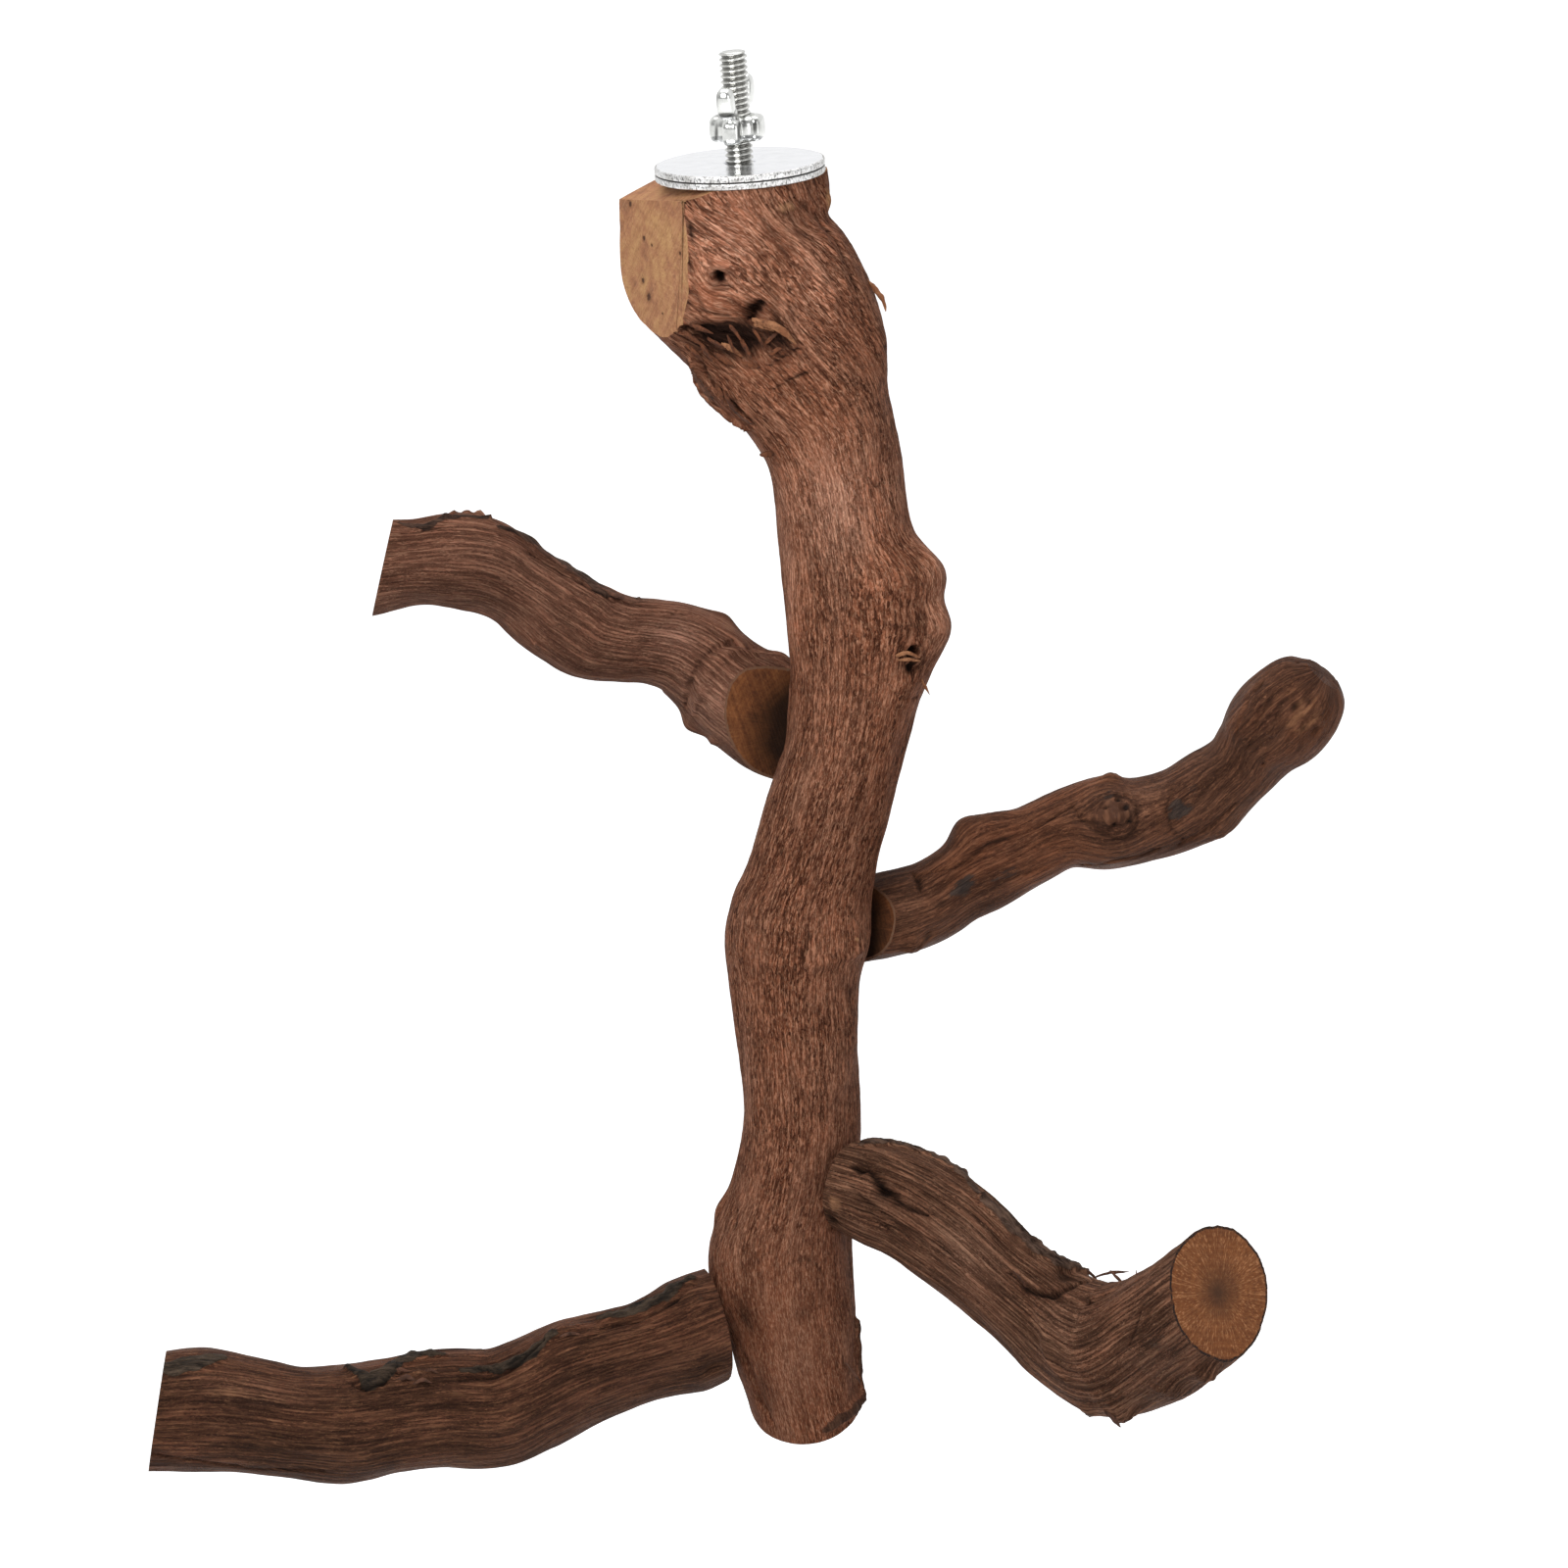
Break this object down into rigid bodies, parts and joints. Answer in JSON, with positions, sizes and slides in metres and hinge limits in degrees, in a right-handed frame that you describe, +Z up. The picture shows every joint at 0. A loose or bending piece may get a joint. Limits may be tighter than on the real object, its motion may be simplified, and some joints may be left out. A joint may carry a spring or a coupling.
{
  "type": "natural wood bird perch",
  "caption": "Crooked natural-wood trunk with short branch perches screwed to it, hung from a cage roof by a threaded stud, washers and a wing nut.",
  "frame": {"origin": "on the hanger bolt's axis, where the lower washer's top meets the upper washer's foot", "axes": "+Z up the bolt, +X to the right in the picture, -Y towards the viewer"},
  "size_m": [0.2755, 0.1011, 0.315],
  "materials": {
    "trunk_wood": "peeled, grained, satin",
    "perch_wood": "grained, with strips of bark",
    "dark_wood": "dark grained, with strips of bark",
    "bolt_steel": "bright plated",
    "washer_steel": "polished faces, sheared edges",
    "nut_plate": "bright plated casting",
    "screw_steel": "plain zinc"
  },
  "bodies": {
    "trunk": {"trunk": "trunk_wood", "hanger_bolt": "bolt_steel", "upper_left_dowel": "screw_steel", "right_dowel": "screw_steel", "lower_right_dowel": "screw_steel", "lower_left_dowel": "screw_steel"},
    "upper_left_perch": {"upper_left_perch": "perch_wood"},
    "right_perch": {"right_perch": "perch_wood"},
    "lower_right_perch": {"lower_right_perch": "perch_wood"},
    "lower_left_perch": {"lower_left_perch": "dark_wood"},
    "lower_washer": {"lower_washer": "washer_steel"},
    "upper_washer": {"upper_washer": "washer_steel"},
    "nut_core": {"wing_nut_core": "nut_plate"},
    "nut_wings": {"wing_nut": "nut_plate"}
  },
  "joints": [
    {"name": "upper_left_swing", "type": "hinge", "parent": "trunk", "child": "upper_left_perch", "pos_m": [0.00743, 0.01358, -0.13009], "axis": [-0.4545, 0.8702, 0.1905], "range_deg": [-25, 15]},
    {"name": "right_swing", "type": "hinge", "parent": "trunk", "child": "right_perch", "pos_m": [0.01267, 0.01205, -0.17454], "axis": [0.6761, 0.7289, -0.1075], "range_deg": [-25, 25]},
    {"name": "lower_right_swing", "type": "hinge", "parent": "trunk", "child": "lower_right_perch", "pos_m": [0.00977, -0.00859, -0.23023], "axis": [0.7817, -0.5976, -0.1786], "range_deg": [-25, 25]},
    {"name": "lower_left_swing", "type": "hinge", "parent": "trunk", "child": "lower_left_perch", "pos_m": [-0.02146, -0.00337, -0.2606], "axis": [-0.9711, -0.2093, -0.1145], "range_deg": [-25, 25]},
    {"name": "lower_washer_lift", "type": "slide", "parent": "trunk", "child": "lower_washer", "axis": [0, 0, 1], "range_m": [0, 0.002]},
    {"name": "upper_washer_lift", "type": "slide", "parent": "lower_washer", "child": "upper_washer", "axis": [0, 0, 1], "range_m": [0, 0.0023]},
    {"name": "nut_travel", "type": "slide", "parent": "trunk", "child": "nut_core", "axis": [0, 0, 1], "range_m": [-0.0043, 0.01]},
    {"name": "nut_turn", "type": "hinge", "parent": "nut_core", "child": "nut_wings", "pos_m": [0, 0, 0], "axis": [0, 0, 1], "range_deg": [-1224, 2840]}
  ],
  "couplings": [
    {"joint": "nut_turn", "follows": "nut_travel", "rad_per_m": 4947.4}
  ]
}
